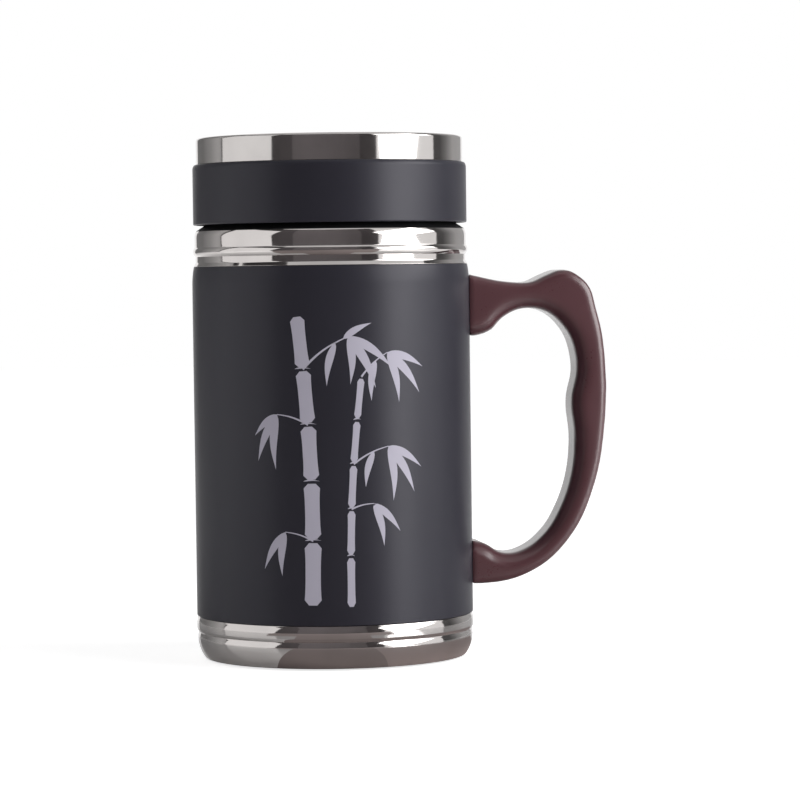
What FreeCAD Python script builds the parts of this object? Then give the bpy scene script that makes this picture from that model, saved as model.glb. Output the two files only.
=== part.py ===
import FreeCAD, Part
import math
import os

import Sketcher

# Lidded tea mug with a clay liner, a side handle, a screw lid and a lift-out infuser.
# Millimetres. +Z is up, z = 0 is the face the mug stands on, the mug's axis is the Z axis,
# and the handle is on the +X side. The driving sizes stand in the sheet below, and every
# sketch and feature is bound to them.

DRIVING_SIZES = {
    # painted tube and its polished end rings
    "shell_radius": 39.0,
    "shell_wall": 1.0,
    "tube_bottom": 12.4,
    "tube_top": 110.4,
    "tube_shoulder_drop": 3.0,
    "tube_shoulder_inset": 0.5,
    "ring_radius": 38.3,
    "ring_inner_radius": 36.8,
    "ring_top": 120.3,
    "ring_shoulder": 0.8,
    "bead_bottom": 113.7,
    "bead_top": 114.9,
    "groove_width": 0.8,
    "groove_depth": 0.5,
    # foot of the mug
    "foot_clearance": 0.4,
    "foot_radius": 36.8,
    "foot_curve_radius": 37.8,
    "foot_curve_height": 2.0,
    "base_bead_radius": 38.5,
    "base_bead_height": 4.2,
    "base_groove_radius": 38.1,
    "base_groove_height": 5.2,
    "base_lip_radius": 38.7,
    "base_lip_height": 6.3,
    "base_band_radius": 39.05,
    "base_band_bottom": 7.5,
    "base_inner_radius": 35.6,
    "base_plate_bottom": 1.0,
    "base_plate_thickness": 1.2,
    "foot_pad_radius": 31.0,
    # clay liner and what holds it
    "liner_radius": 35.0,
    "liner_neck_radius": 33.6,
    "liner_inner_radius": 30.6,
    "liner_bottom": 7.0,
    "liner_floor": 4.5,
    "liner_corner": 4.0,
    "liner_shoulder": 114.5,
    "liner_top": 139.0,
    "cushion_radius": 33.0,
    # threaded neck
    "neck_flange_radius": 37.8,
    "neck_flange_height": 1.9,
    "neck_thread_radius": 35.4,
    "neck_top": 138.6,
    # lid
    "lid_bottom": 122.0,
    "lid_band_radius": 38.5,
    "lid_band_wall": 0.8,
    "lid_band_shoulder": 138.2,
    "lid_band_shoulder_inset": 0.5,
    "lid_step": 138.9,
    "lid_cap_radius": 37.5,
    "lid_cap_wall": 0.6,
    "lid_cap_top": 146.3,
    "lid_cap_plate": 0.8,
    "lid_cap_edge": 0.8,
    "lid_bore_radius": 35.8,
    "lid_bore_bottom": 122.6,
    "lid_roof": 141.4,
    "seal_outer_radius": 33.4,
    "seal_inner_radius": 28.8,
    # infuser
    "infuser_rim_thickness": 0.8,
    "infuser_rim_radius": 33.2,
    "basket_radius": 28.2,
    "basket_wall": 0.4,
    "basket_bottom": 94.0,
    "basket_corner": 3.0,
    "slot_width": 1.6,
    "slot_height": 11.0,
    "slot_rows_bottom": 101.0,
    "slot_row_pitch": 14.0,
    "floor_slot_start": 13.5,
    "floor_slot_end": 22.5,
    "floor_inner_slot_start": 4.5,
    "floor_inner_slot_end": 11.0,
    # handle
    "handle_width": 16.0,
    "handle_palm_bevel": 2.6,
    "handle_back_bevel": 0.9,
    "tab_width": 9.0,
    "tab_thickness": 2.0,
    "tab_reach": 47.0,
    "tab_blank_depth": 2.0,
    "tab_bore_radius": 1.8,
    "tab_foot_height": 6.0,
    "tab_foot_thickness": 1.4,
    "upper_tab_height": 95.6,
    "lower_tab_height": 24.2,
    "screw_offset": 43.2,
    "screw_radius": 1.5,
    "screw_length": 5.0,
    "screw_head_radius": 2.7,
    "screw_head_thickness": 1.4,
    "screw_seat_gap": 2.6,
    "screw_well_radius": 3.0,
    "screw_well_depth": 8.0,
}

SLOTS_PER_ROW = 18
SLOT_ROWS = 2
FLOOR_SLOTS = 12
FLOOR_INNER_SLOTS = 6

# how far apart two things may be and still count as touching, and the least volume of a cut
TOUCHING = 0.001
LEAST_CUT_VOLUME = 0.01

doc = FreeCAD.newDocument("TeaMug")


def make_sheet():
    """Writes the driving sizes into a spreadsheet, one row each: its name, then its value."""
    table = doc.addObject("Spreadsheet::Sheet", "Sizes")
    for row, (name, number) in enumerate(DRIVING_SIZES.items(), start=1):
        table.set(f"A{row}", name)
        table.set(f"B{row}", str(number))
        table.setAlias(f"B{row}", name)
    doc.recompute()
    return table


sheet = make_sheet()


class Size:
    """A length that carries both its number and the sheet expression that gives it."""

    def __init__(self, number, text):
        self.number = number
        self.text = text

    def joined(self, other, sign):
        other = as_size(other)
        numbers = {
            "+": lambda a, b: a + b,
            "-": lambda a, b: a - b,
            "*": lambda a, b: a * b,
            "/": lambda a, b: a / b,
        }
        return Size(numbers[sign](self.number, other.number), f"({self.text} {sign} {other.text})")

    def __add__(self, other):
        return self.joined(other, "+")

    def __sub__(self, other):
        return self.joined(other, "-")

    def __mul__(self, other):
        return self.joined(other, "*")

    def __truediv__(self, other):
        return self.joined(other, "/")


def as_size(thing):
    return thing if isinstance(thing, Size) else Size(float(thing), str(thing))


def of_sheet(name):
    return Size(float(sheet.get(name)), f"Sizes.{name}")


AXIS = as_size(0)
GROUND = as_size(0)
ORIGIN_POINT = (-1, 1)
HORIZONTAL_AXIS = -1
VERTICAL_AXIS = -2


def bind(sketch, kind, first, second, size):
    """Adds a dimension between two sketch points and binds it to the sheet."""
    index = sketch.addConstraint(Sketcher.Constraint(kind, *first, *second, size.number))
    sketch.setExpression(f"Constraints[{index}]", size.text)


def pin_point(sketch, point, across, up):
    """Holds a sketch point at its two distances from the origin."""
    if across.text == "0":
        sketch.addConstraint(Sketcher.Constraint("PointOnObject", *point, VERTICAL_AXIS))
    else:
        bind(sketch, "DistanceX", ORIGIN_POINT, point, across)
    if up.text == "0":
        sketch.addConstraint(Sketcher.Constraint("PointOnObject", *point, HORIZONTAL_AXIS))
    else:
        bind(sketch, "DistanceY", ORIGIN_POINT, point, up)


def origin_plane(body, role):
    return next(part for part in body.Origin.OriginFeatures if part.Role == role)


def new_body(name):
    body = doc.addObject("PartDesign::Body", name)
    body.Label = name
    return body


def new_sketch(body, name, role="XZ_Plane"):
    sketch = body.newObject("Sketcher::SketchObject", name)
    sketch.AttachmentSupport = (origin_plane(body, role), [""])
    sketch.MapMode = "FlatFace"
    return sketch


def draw_outline(sketch, corners):
    """Draws a closed outline of straight runs through corners given as (across, up) sizes."""
    spots = [FreeCAD.Vector(across.number, up.number, 0) for across, up in corners]
    first = sketch.GeometryCount
    count = len(spots)
    for i in range(count):
        sketch.addGeometry(Part.LineSegment(spots[i], spots[(i + 1) % count]), False)
    for i in range(count):
        sketch.addConstraint(
            Sketcher.Constraint("Coincident", first + i, 2, first + (i + 1) % count, 1)
        )
    for i, (across, up) in enumerate(corners):
        pin_point(sketch, (first + i, 1), across, up)


def turned_body(name, corners):
    """Makes a body by turning an outline of (radius, height) corners about the mug's axis."""
    body = new_body(name)
    profile = new_sketch(body, name + "_profile")
    draw_outline(profile, corners)
    turn = body.newObject("PartDesign::Revolution", name + "_turn")
    turn.Profile = profile
    turn.ReferenceAxis = (profile, ["V_Axis"])
    turn.Angle = 360
    profile.Visibility = False
    doc.recompute()
    return body


def disc(name, radius, bottom, top):
    return turned_body(name, [(AXIS, bottom), (radius, bottom), (radius, top), (AXIS, top)])


def ring(name, inner, outer, bottom, top):
    return turned_body(name, [(inner, bottom), (outer, bottom), (outer, top), (inner, top)])


shell_radius = of_sheet("shell_radius")
tube_bottom = of_sheet("tube_bottom")
tube_top = of_sheet("tube_top")


def make_shell_tube():
    """The painted steel tube, whose upper end draws in a little to meet the polished ring."""
    inner = shell_radius - of_sheet("shell_wall")
    return turned_body(
        "shell_tube",
        [
            (inner, tube_bottom),
            (shell_radius, tube_bottom),
            (shell_radius, tube_top - of_sheet("tube_shoulder_drop")),
            (shell_radius - of_sheet("tube_shoulder_inset"), tube_top),
            (inner, tube_top),
        ],
    )


def make_upper_ring():
    """The polished ring over the tube: two bands with a bead between two rolled grooves."""
    outer = of_sheet("ring_radius")
    inner = of_sheet("ring_inner_radius")
    top = of_sheet("ring_top")
    shoulder = of_sheet("ring_shoulder")
    width = of_sheet("groove_width")
    floor = outer - of_sheet("groove_depth")
    bead_bottom = of_sheet("bead_bottom")
    bead_top = of_sheet("bead_top")
    return turned_body(
        "upper_ring",
        [
            (inner, tube_top),
            (outer, tube_top),
            (outer, bead_bottom - width),
            (floor, bead_bottom - width / 2),
            (outer, bead_bottom),
            (outer, bead_top),
            (floor, bead_top + width / 2),
            (outer, bead_top + width),
            (outer, top - shoulder),
            (outer - shoulder, top),
            (inner, top),
        ],
    )


def make_base_ring():
    """The polished foot: a tall band with a rolled lip, a groove, a bead and a drawn-in foot."""
    inner = of_sheet("base_inner_radius")
    clearance = of_sheet("foot_clearance")
    return turned_body(
        "base_ring",
        [
            (inner, clearance),
            (of_sheet("foot_radius"), clearance),
            (of_sheet("foot_curve_radius"), of_sheet("foot_curve_height")),
            (of_sheet("base_bead_radius"), of_sheet("base_bead_height")),
            (of_sheet("base_groove_radius"), of_sheet("base_groove_height")),
            (of_sheet("base_lip_radius"), of_sheet("base_lip_height")),
            (of_sheet("base_band_radius"), of_sheet("base_band_bottom")),
            (shell_radius, tube_bottom),
            (inner, tube_bottom),
        ],
    )


def make_foot():
    """The pressed-in bottom plate and the soft pad under it that the mug stands on."""
    bottom = of_sheet("base_plate_bottom")
    top = bottom + of_sheet("base_plate_thickness")
    plate = disc("base_plate", of_sheet("base_inner_radius"), bottom, top)
    pad = disc("foot_pad", of_sheet("foot_pad_radius"), GROUND, bottom)
    return [plate, pad]


def make_liner():
    """The clay cup inside: a thick straight wall, a flat floor and a neck that stands proud."""
    inner = of_sheet("liner_inner_radius")
    outer = of_sheet("liner_radius")
    bottom = of_sheet("liner_bottom")
    floor = bottom + of_sheet("liner_floor")
    corner = of_sheet("liner_corner")
    shoulder = of_sheet("liner_shoulder")
    neck = of_sheet("liner_neck_radius")
    top = of_sheet("liner_top")
    return turned_body(
        "clay_liner",
        [
            (AXIS, bottom),
            (outer - corner, bottom),
            (outer, bottom + corner),
            (outer, shoulder),
            (neck, shoulder),
            (neck, top),
            (inner, top),
            (inner, floor + corner),
            (inner - corner, floor),
            (AXIS, floor),
        ],
    )


def make_liner_fittings():
    """The soft disc under the liner and the sealing ring round its neck."""
    cushion = disc(
        "liner_cushion",
        of_sheet("cushion_radius"),
        of_sheet("base_plate_bottom") + of_sheet("base_plate_thickness"),
        of_sheet("liner_bottom"),
    )
    gasket = ring(
        "liner_gasket",
        of_sheet("liner_neck_radius"),
        of_sheet("ring_inner_radius"),
        of_sheet("liner_shoulder"),
        of_sheet("ring_top"),
    )
    return [cushion, gasket]


def make_neck():
    """The moulded neck that the lid screws on, with a flared flange over the polished ring."""
    inner = of_sheet("liner_neck_radius")
    thread = of_sheet("neck_thread_radius")
    bottom = of_sheet("ring_top")
    top = of_sheet("neck_top")
    return turned_body(
        "neck_collar",
        [
            (inner, bottom),
            (of_sheet("neck_flange_radius"), bottom),
            (thread, bottom + of_sheet("neck_flange_height")),
            (thread, top),
            (inner, top),
        ],
    )


def make_lid():
    """The lid: a steel cap, a painted skirt and the moulded inner cup with the thread's bore."""
    skirt_radius = of_sheet("lid_band_radius")
    skirt_inner = skirt_radius - of_sheet("lid_band_wall")
    skirt_top = skirt_radius - of_sheet("lid_band_shoulder_inset")
    bottom = of_sheet("lid_bottom")
    step = of_sheet("lid_step")
    band = turned_body(
        "lid_band",
        [
            (skirt_inner, bottom),
            (skirt_radius, bottom),
            (skirt_radius, of_sheet("lid_band_shoulder")),
            (skirt_top, step),
            (skirt_inner, step),
        ],
    )
    cap_radius = of_sheet("lid_cap_radius")
    cap_inner = cap_radius - of_sheet("lid_cap_wall")
    cap_top = of_sheet("lid_cap_top")
    cap_roof = cap_top - of_sheet("lid_cap_plate")
    edge = of_sheet("lid_cap_edge")
    cap = turned_body(
        "lid_cap",
        [
            (cap_inner, step),
            (cap_radius, step),
            (cap_radius, cap_top - edge),
            (cap_radius - edge, cap_top),
            (AXIS, cap_top),
            (AXIS, cap_roof),
            (cap_inner, cap_roof),
        ],
    )
    bore = of_sheet("lid_bore_radius")
    roof = of_sheet("lid_roof")
    inner = turned_body(
        "lid_inner",
        [
            (bore, of_sheet("lid_bore_bottom")),
            (skirt_inner, of_sheet("lid_bore_bottom")),
            (skirt_inner, step),
            (cap_inner, step),
            (cap_inner, cap_roof),
            (AXIS, cap_roof),
            (AXIS, roof),
            (bore, roof),
        ],
    )
    seal = ring(
        "lid_seal",
        of_sheet("seal_inner_radius"),
        of_sheet("seal_outer_radius"),
        of_sheet("liner_top") + of_sheet("infuser_rim_thickness"),
        roof,
    )
    return [band, cap, inner, seal]


def cut_round_pattern(body, name, sketch, count):
    """Cuts what a sketch shows out of one side of a body and repeats it round the axis."""
    cut = body.newObject("PartDesign::Pocket", name)
    cut.Profile = sketch
    cut.Type = "ThroughAll"
    cut.Reversed = True
    sketch.Visibility = False
    doc.recompute()
    pattern = body.newObject("PartDesign::PolarPattern", name + "_round")
    pattern.Originals = [cut]
    pattern.Axis = (origin_plane(body, "Z_Axis"), [""])
    pattern.Angle = 360
    pattern.Occurrences = count
    body.Tip = pattern
    doc.recompute()


def draw_box(sketch, left, right, bottom, top):
    draw_outline(sketch, [(left, bottom), (right, bottom), (right, top), (left, top)])


def make_infuser():
    """The slotted steel basket and the flange that it hangs by on the liner's lip."""
    outer = of_sheet("basket_radius")
    inner = outer - of_sheet("basket_wall")
    bottom = of_sheet("basket_bottom")
    floor = bottom + of_sheet("basket_wall")
    corner = of_sheet("basket_corner")
    top = of_sheet("liner_top")
    basket = turned_body(
        "infuser_basket",
        [
            (AXIS, bottom),
            (outer - corner, bottom),
            (outer, bottom + corner),
            (outer, top),
            (inner, top),
            (inner, floor + corner),
            (inner - corner, floor),
            (AXIS, floor),
        ],
    )
    half_slot = of_sheet("slot_width") / 2
    left = half_slot * -1
    wall_slots = new_sketch(basket, "wall_slots")
    for row in range(SLOT_ROWS):
        low = of_sheet("slot_rows_bottom") + of_sheet("slot_row_pitch") * row
        draw_box(wall_slots, left, half_slot, low, low + of_sheet("slot_height"))
    cut_round_pattern(basket, "wall_slot_cut", wall_slots, SLOTS_PER_ROW)
    floor_rings = (("floor_slot", FLOOR_SLOTS), ("floor_inner_slot", FLOOR_INNER_SLOTS))
    for name, count in floor_rings:
        floor_slots = new_sketch(basket, name + "s", "XY_Plane")
        draw_box(floor_slots, of_sheet(name + "_start"), of_sheet(name + "_end"), left, half_slot)
        cut_round_pattern(basket, name + "_cut", floor_slots, count)
    rim = ring(
        "infuser_rim",
        inner,
        of_sheet("infuser_rim_radius"),
        top,
        top + of_sheet("infuser_rim_thickness"),
    )
    return [basket, rim]


# The handle's outline on the mug's XZ plane, as (radius, height) points on a smooth line.
# The back runs from the top lug over the thumb rest and down to the bottom lug.
HANDLE_BACK = [
    (36.0, 108.1),
    (42.0, 106.4),
    (49.5, 105.0),
    (56.6, 105.0),
    (60.6, 106.8),
    (65.4, 108.3),
    (71.3, 105.4),
    (75.4, 95.0),
    (77.5, 79.0),
    (77.1, 65.5),
    (74.1, 48.2),
    (68.1, 34.6),
    (59.4, 25.4),
    (50.2, 21.1),
    (42.0, 20.0),
    (36.0, 20.0),
]
# The palm side runs back up from the bottom lug, past the two finger hollows.
HANDLE_PALM = [
    (36.0, 31.7),
    (41.3, 31.5),
    (43.6, 30.4),
    (45.8, 28.8),
    (49.3, 28.1),
    (54.6, 29.6),
    (60.3, 34.1),
    (65.0, 41.8),
    (68.3, 53.0),
    (68.8, 61.0),
    (68.0, 70.2),
    (69.6, 82.0),
    (66.6, 91.4),
    (60.0, 97.0),
    (53.4, 97.5),
    (47.6, 94.6),
    (44.9, 91.7),
    (42.2, 90.5),
    (36.0, 90.4),
]


def line_directions(points):
    """The direction of a smooth line at each of its points, from the circle through its neighbours."""
    steps = [b.sub(a) for a, b in zip(points, points[1:])]
    inner = [
        FreeCAD.Vector(before / before.Length**2 + after / after.Length**2).normalize()
        for before, after in zip(steps, steps[1:])
    ]
    first = (steps[0] * (2 * inner[0].dot(steps[0]) / steps[0].Length ** 2)).sub(inner[0])
    last = (steps[-1] * (2 * inner[-1].dot(steps[-1]) / steps[-1].Length ** 2)).sub(inner[-1])
    return [first.normalize(), *inner, last.normalize()]


def arc_from(start, direction, end):
    """The arc that leaves a point in a direction and ends at another point."""
    chord = end.sub(start)
    along = chord / chord.Length
    lean = direction.sub(along * direction.dot(along))
    if lean.Length < TOUCHING / 10:
        return Part.LineSegment(start, end)
    height = chord.Length / 2 * math.tan(math.asin(min(lean.Length, 1.0)) / 2)
    crown = start + chord / 2 + lean.normalize() * height
    return Part.Arc(start, crown, end)


def tangent_arcs(points):
    """Joins points by a smooth line: two tangent arcs for each span."""
    spots = [FreeCAD.Vector(across, up, 0) for across, up in points]
    directions = line_directions(spots)
    arcs = []
    for i in range(len(spots) - 1):
        start, end = spots[i], spots[i + 1]
        out, into = directions[i], directions[i + 1]
        span = end.sub(start)
        both = span.dot(out + into)
        spread = 2 * (1 - out.dot(into))
        square = span.Length**2
        reach = square / (both + math.sqrt(both**2 + spread * square))
        corner = start + out * reach
        joint = (corner + end - into * reach) / 2
        arcs.append(arc_from(start, out, joint))
        arcs.append(arc_from(joint, (joint - corner).normalize(), end))
    return arcs


def pad_midway(body, name, sketch, width):
    """Pads a sketch to both sides of its plane."""
    pad = body.newObject("PartDesign::Pad", name)
    pad.Profile = sketch
    pad.SideType = "Symmetric"
    pad.setExpression("Length", width.text)
    sketch.Visibility = False
    doc.recompute()


def cut_midway(body, name, sketch, width):
    """Cuts a sketch out of a body to both sides of its plane."""
    before = body.Shape.Volume
    cut = body.newObject("PartDesign::Pocket", name)
    cut.Profile = sketch
    cut.SideType = "Symmetric"
    cut.setExpression("Length", width.text)
    sketch.Visibility = False
    doc.recompute()
    check_cut(body, name, before)


def check_cut(body, name, before):
    if body.Shape.Volume > before - LEAST_CUT_VOLUME:
        raise RuntimeError(f"{name} cuts nothing")


def cut_shell_seat(body, name):
    """Trims a body to the round of the shell, so that it sits flush against the tube."""
    before = body.Shape.Volume
    seat = new_sketch(body, name + "_seat", "XY_Plane")
    circle = Part.Circle(FreeCAD.Vector(), FreeCAD.Vector(0, 0, 1), shell_radius.number)
    index = seat.addGeometry(circle, False)
    seat.addConstraint(Sketcher.Constraint("Coincident", index, 3, *ORIGIN_POINT))
    radius = seat.addConstraint(Sketcher.Constraint("Radius", index, shell_radius.number))
    seat.setExpression(f"Constraints[{radius}]", shell_radius.text)
    cut = body.newObject("PartDesign::Pocket", name + "_seat_cut")
    cut.Profile = seat
    cut.Type = "ThroughAll"
    cut.Reversed = True
    seat.Visibility = False
    doc.recompute()
    check_cut(body, name + "_seat", before)


def cut_screw_bore(body, name, radius, bottom, top):
    """Cuts an upright round bore on the screw's line."""
    before = body.Shape.Volume
    centre = of_sheet("screw_offset")
    profile = new_sketch(body, name)
    draw_box(profile, centre, centre + radius, bottom, top)
    bore = body.newObject("PartDesign::Groove", name + "_cut")
    bore.Profile = profile
    bore.ReferenceAxis = (profile, ["Edge4"])
    bore.Angle = 360
    profile.Visibility = False
    doc.recompute()
    check_cut(body, name, before)


def tab_outline(height):
    """The steel tab on the shell: a foot against the tube and a tongue into the lug.

    Its blank starts behind the tube's surface and is trimmed to the round later.
    """
    behind = shell_radius - of_sheet("tab_blank_depth")
    foot = shell_radius + of_sheet("tab_foot_thickness")
    reach = of_sheet("tab_reach")
    half_foot = of_sheet("tab_foot_height") / 2
    half_tongue = of_sheet("tab_thickness") / 2
    return [
        (behind, height - half_foot),
        (foot, height - half_foot),
        (foot, height - half_tongue),
        (reach, height - half_tongue),
        (reach, height + half_tongue),
        (foot, height + half_tongue),
        (foot, height + half_foot),
        (behind, height + half_foot),
    ]


def edge_through(shape, across, side, up):
    """Names the first edge that runs through a point."""
    point = Part.Vertex(across, side, up)
    for i, edge in enumerate(shape.Edges, start=1):
        if edge.distToShape(point)[0] < TOUCHING and edge.BoundBox.YLength < TOUCHING:
            return f"Edge{i}"
    raise RuntimeError(f"no edge runs through {across}, {side}, {up}")


def bevel_edges(body, name, knot, size):
    """Bevels the two long smooth edges that run through a knot of the outline."""
    base = body.Tip
    half_width = of_sheet("handle_width").number / 2
    edges = [edge_through(base.Shape, knot[0], side, knot[1]) for side in (-half_width, half_width)]
    bevel = body.newObject("PartDesign::Chamfer", name)
    bevel.Base = (base, edges)
    bevel.setExpression("Size", size.text)
    doc.recompute()


TABS = (("upper", 1), ("lower", -1))


def make_handle():
    """The moulded handle: thumb rest, two finger hollows, soft edges and socketed lugs."""
    body = new_body("handle")
    side = new_sketch(body, "handle_side")
    back = tangent_arcs(HANDLE_BACK)
    palm = tangent_arcs(HANDLE_PALM)
    low_end = Part.LineSegment(back[-1].EndPoint, palm[0].StartPoint)
    high_end = Part.LineSegment(palm[-1].EndPoint, back[0].StartPoint)
    for piece in [*back, low_end, *palm, high_end]:
        side.addGeometry(piece, False)
    pad_midway(body, "handle_pad", side, of_sheet("handle_width"))
    bevel_edges(body, "palm_bevel", HANDLE_PALM[9], of_sheet("handle_palm_bevel"))
    bevel_edges(body, "back_bevel", HANDLE_BACK[7], of_sheet("handle_back_bevel"))
    cut_shell_seat(body, "handle")
    for name, upward in TABS:
        height = of_sheet(name + "_tab_height")
        socket = new_sketch(body, name + "_socket")
        draw_outline(socket, tab_outline(height))
        cut_midway(body, name + "_socket_cut", socket, of_sheet("tab_width"))
        seat = height - of_sheet("screw_seat_gap") * upward
        tip = seat + of_sheet("screw_length") * upward
        mouth = seat - of_sheet("screw_well_depth") * upward
        low, high = (seat, tip) if upward > 0 else (tip, seat)
        cut_screw_bore(body, name + "_screw_bore", of_sheet("screw_radius"), low, high)
        low, high = (mouth, seat) if upward > 0 else (seat, mouth)
        cut_screw_bore(body, name + "_screw_well", of_sheet("screw_well_radius"), low, high)
    return body


def make_tab(name):
    """One of the two steel tabs that the handle's lugs slide over."""
    label = name + "_handle_tab"
    height = of_sheet(name + "_tab_height")
    half = of_sheet("tab_thickness") / 2
    body = new_body(label)
    side = new_sketch(body, label + "_side")
    draw_outline(side, tab_outline(height))
    pad_midway(body, label + "_pad", side, of_sheet("tab_width"))
    cut_shell_seat(body, label)
    cut_screw_bore(body, label + "_bore", of_sheet("tab_bore_radius"), height - half, height + half)
    return body


def upright_cylinder(name, radius, bottom, length):
    rod = doc.addObject("Part::Cylinder", name)
    rod.setExpression("Radius", radius.text)
    rod.setExpression("Height", length.text)
    rod.setExpression("Placement.Base.x", of_sheet("screw_offset").text)
    rod.setExpression("Placement.Base.z", bottom.text)
    return rod


def make_screws():
    """The two short screws that hold the lugs on the tabs, driven from inside the grip."""
    length = of_sheet("screw_length")
    head_thickness = of_sheet("screw_head_thickness")
    screws = []
    for name, upward in TABS:
        seat = of_sheet(name + "_tab_height") - of_sheet("screw_seat_gap") * upward
        shank_bottom = seat if upward > 0 else seat - length
        head_bottom = seat - head_thickness if upward > 0 else seat
        shank = upright_cylinder(name + "_screw_shank", of_sheet("screw_radius"), shank_bottom, length)
        head = upright_cylinder(
            name + "_screw_head", of_sheet("screw_head_radius"), head_bottom, head_thickness
        )
        screw = doc.addObject("Part::Fuse", name + "_screw")
        screw.Base = shank
        screw.Tool = head
        screws.append(screw)
    group = doc.addObject("Part::Compound", "handle_screws")
    group.Links = screws
    group.Label = "handle_screws"
    doc.recompute()
    return group


def write_parts(parts):
    """Checks every object of the document and writes each sub-part to its own file."""
    for item in doc.Objects:
        if "Invalid" in item.State or "Error" in item.State:
            raise RuntimeError(f"{item.Name} failed: {item.State}")
    os.makedirs("parts", exist_ok=True)
    for part in parts:
        if part.Shape.isNull() or not part.Shape.isValid():
            raise RuntimeError(f"{part.Label} has no valid shape")
        part.Shape.exportStep(f"parts/{part.Label}.step")
        print(part.Label, round(part.Shape.Volume, 1), "mm3 in", len(part.Shape.Solids), "solid")


sub_parts = [make_shell_tube(), make_upper_ring(), make_base_ring()]
sub_parts += make_foot()
sub_parts.append(make_liner())
sub_parts += make_liner_fittings()
sub_parts.append(make_neck())
sub_parts += make_lid()
sub_parts += make_infuser()
sub_parts.append(make_handle())
sub_parts += [make_tab(name) for name, _ in TABS]
sub_parts.append(make_screws())
doc.recompute()
write_parts(sub_parts)
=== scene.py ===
# %% [markdown]
# # Dressing a lidded tea mug
#
# The mug's plain solids come from a drawing office: round walls, a grip, a lid and a strainer,
# each already in its right place. This lesson gives them what a camera sees: rolled edges,
# a printed motif, screw threads, and finishes with grain in them. We load the solids first,
# because every new piece takes its size and its place from them.

# %% Load the solids
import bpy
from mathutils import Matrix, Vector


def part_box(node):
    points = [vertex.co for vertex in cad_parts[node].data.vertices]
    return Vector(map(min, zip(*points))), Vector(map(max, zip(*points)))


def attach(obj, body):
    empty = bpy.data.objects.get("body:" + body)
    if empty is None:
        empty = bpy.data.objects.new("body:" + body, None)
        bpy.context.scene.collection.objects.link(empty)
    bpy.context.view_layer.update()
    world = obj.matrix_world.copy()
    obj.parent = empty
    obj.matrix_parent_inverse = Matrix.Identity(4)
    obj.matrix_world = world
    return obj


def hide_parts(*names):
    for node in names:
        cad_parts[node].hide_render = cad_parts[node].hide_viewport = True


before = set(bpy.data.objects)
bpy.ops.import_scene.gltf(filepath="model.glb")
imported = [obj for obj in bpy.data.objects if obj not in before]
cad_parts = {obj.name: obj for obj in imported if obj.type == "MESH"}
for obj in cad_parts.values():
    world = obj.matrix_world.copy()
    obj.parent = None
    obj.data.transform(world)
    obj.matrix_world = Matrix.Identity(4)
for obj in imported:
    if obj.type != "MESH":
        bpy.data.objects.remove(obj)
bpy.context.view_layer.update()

# %% [markdown]
# Blender counts in metres and a mug is drawn in millimetres. Bevels a fifth of a millimetre
# wide come close to the smallest length that the modelling tools trust, so each piece is
# modelled in millimetres and scaled down once, at its end.

# %% Units and measures
import math

import bmesh
import bpy
from mathutils import Matrix, Vector

MM = 0.001
TURN_STEPS = 192


def spans(node):
    """A round solid's radius, bottom and top in millimetres, read from its box."""
    low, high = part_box(node)
    return high[1] / MM, low[2] / MM, high[2] / MM


shell_radius, tube_bottom, tube_top = spans("shell_tube")
print("tube: radius", round(shell_radius, 2), "from", round(tube_bottom, 1), "to", round(tube_top, 1))

# %% [markdown]
# A photographer's long lens keeps the mug's sides upright. The camera stands a little above
# the mug's middle and a few degrees left of straight ahead, and it leans by less than a
# degree, which a hand-set tripod does too. It is aimed to the right of the mug, so that mug
# and handle together sit in the middle of the picture.

# %% Camera
CAMERA_AZIMUTH = math.radians(-7.5)
CAMERA_DISTANCE = 0.944
CAMERA_HEIGHT = 0.108
CAMERA_LENS = 150.5
CAMERA_ROLL = math.radians(0.74)
AIM_RIGHT = 0.0191
AIM_HEIGHT = 0.0721


def around(azimuth):
    """The level direction from the mug towards an azimuth; zero faces the mug's front."""
    return Vector((math.sin(azimuth), -math.cos(azimuth), 0))


def link(obj):
    bpy.context.scene.collection.objects.link(obj)
    return obj


camera = link(bpy.data.objects.new("camera", bpy.data.cameras.new("camera")))
camera.data.lens = CAMERA_LENS
camera.location = around(CAMERA_AZIMUTH) * CAMERA_DISTANCE + Vector((0, 0, CAMERA_HEIGHT))
image_right = around(CAMERA_AZIMUTH + math.pi / 2)
aim = image_right * AIM_RIGHT + Vector((0, 0, AIM_HEIGHT))
level = (aim - camera.location).to_track_quat("-Z", "Y").to_matrix()
camera.rotation_euler = (level @ Matrix.Rotation(-CAMERA_ROLL, 3, "Z")).to_euler()
bpy.context.scene.camera = camera
bpy.context.scene.view_settings.view_transform = "Standard"
print("camera at", [round(c, 3) for c in camera.location])

# %% [markdown]
# Polished steel has no colour of its own to speak of: it shows the room. So the room is
# laid out first, as a studio does it, with a tall soft lamp on the right and a weaker one
# on the left. A lamp's place is an azimuth in degrees, counted from the camera to its right.

# %% Lamps
LAMP_MIDDLE = 0.42


def soft_lamp(name, azimuth, width, height, distance, radiance):
    """A soft lamp that faces the mug; its power is worked out from how bright it looks."""
    data = bpy.data.lights.new(name, "AREA")
    data.shape = "RECTANGLE"
    data.size = width
    data.size_y = height
    data.energy = radiance * math.pi * width * height
    lamp = link(bpy.data.objects.new(name, data))
    direction = around(CAMERA_AZIMUTH + math.radians(azimuth))
    centre = Vector((0, 0, height * LAMP_MIDDLE))
    lamp.location = direction * distance + centre
    lamp.rotation_euler = (centre - lamp.location).to_track_quat("-Z", "Z").to_euler()


LAMPS = [
    {"name": "right_lamp", "azimuth": 68, "width": 0.6, "height": 1.0, "distance": 0.95, "radiance": 4.7},
    {"name": "left_lamp", "azimuth": -74.5, "width": 0.99, "height": 1.0, "distance": 1.0, "radiance": 0.9},
]
for lamp in LAMPS:
    soft_lamp(**lamp)
print("lamps:", [lamp["name"] for lamp in LAMPS])

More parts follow.
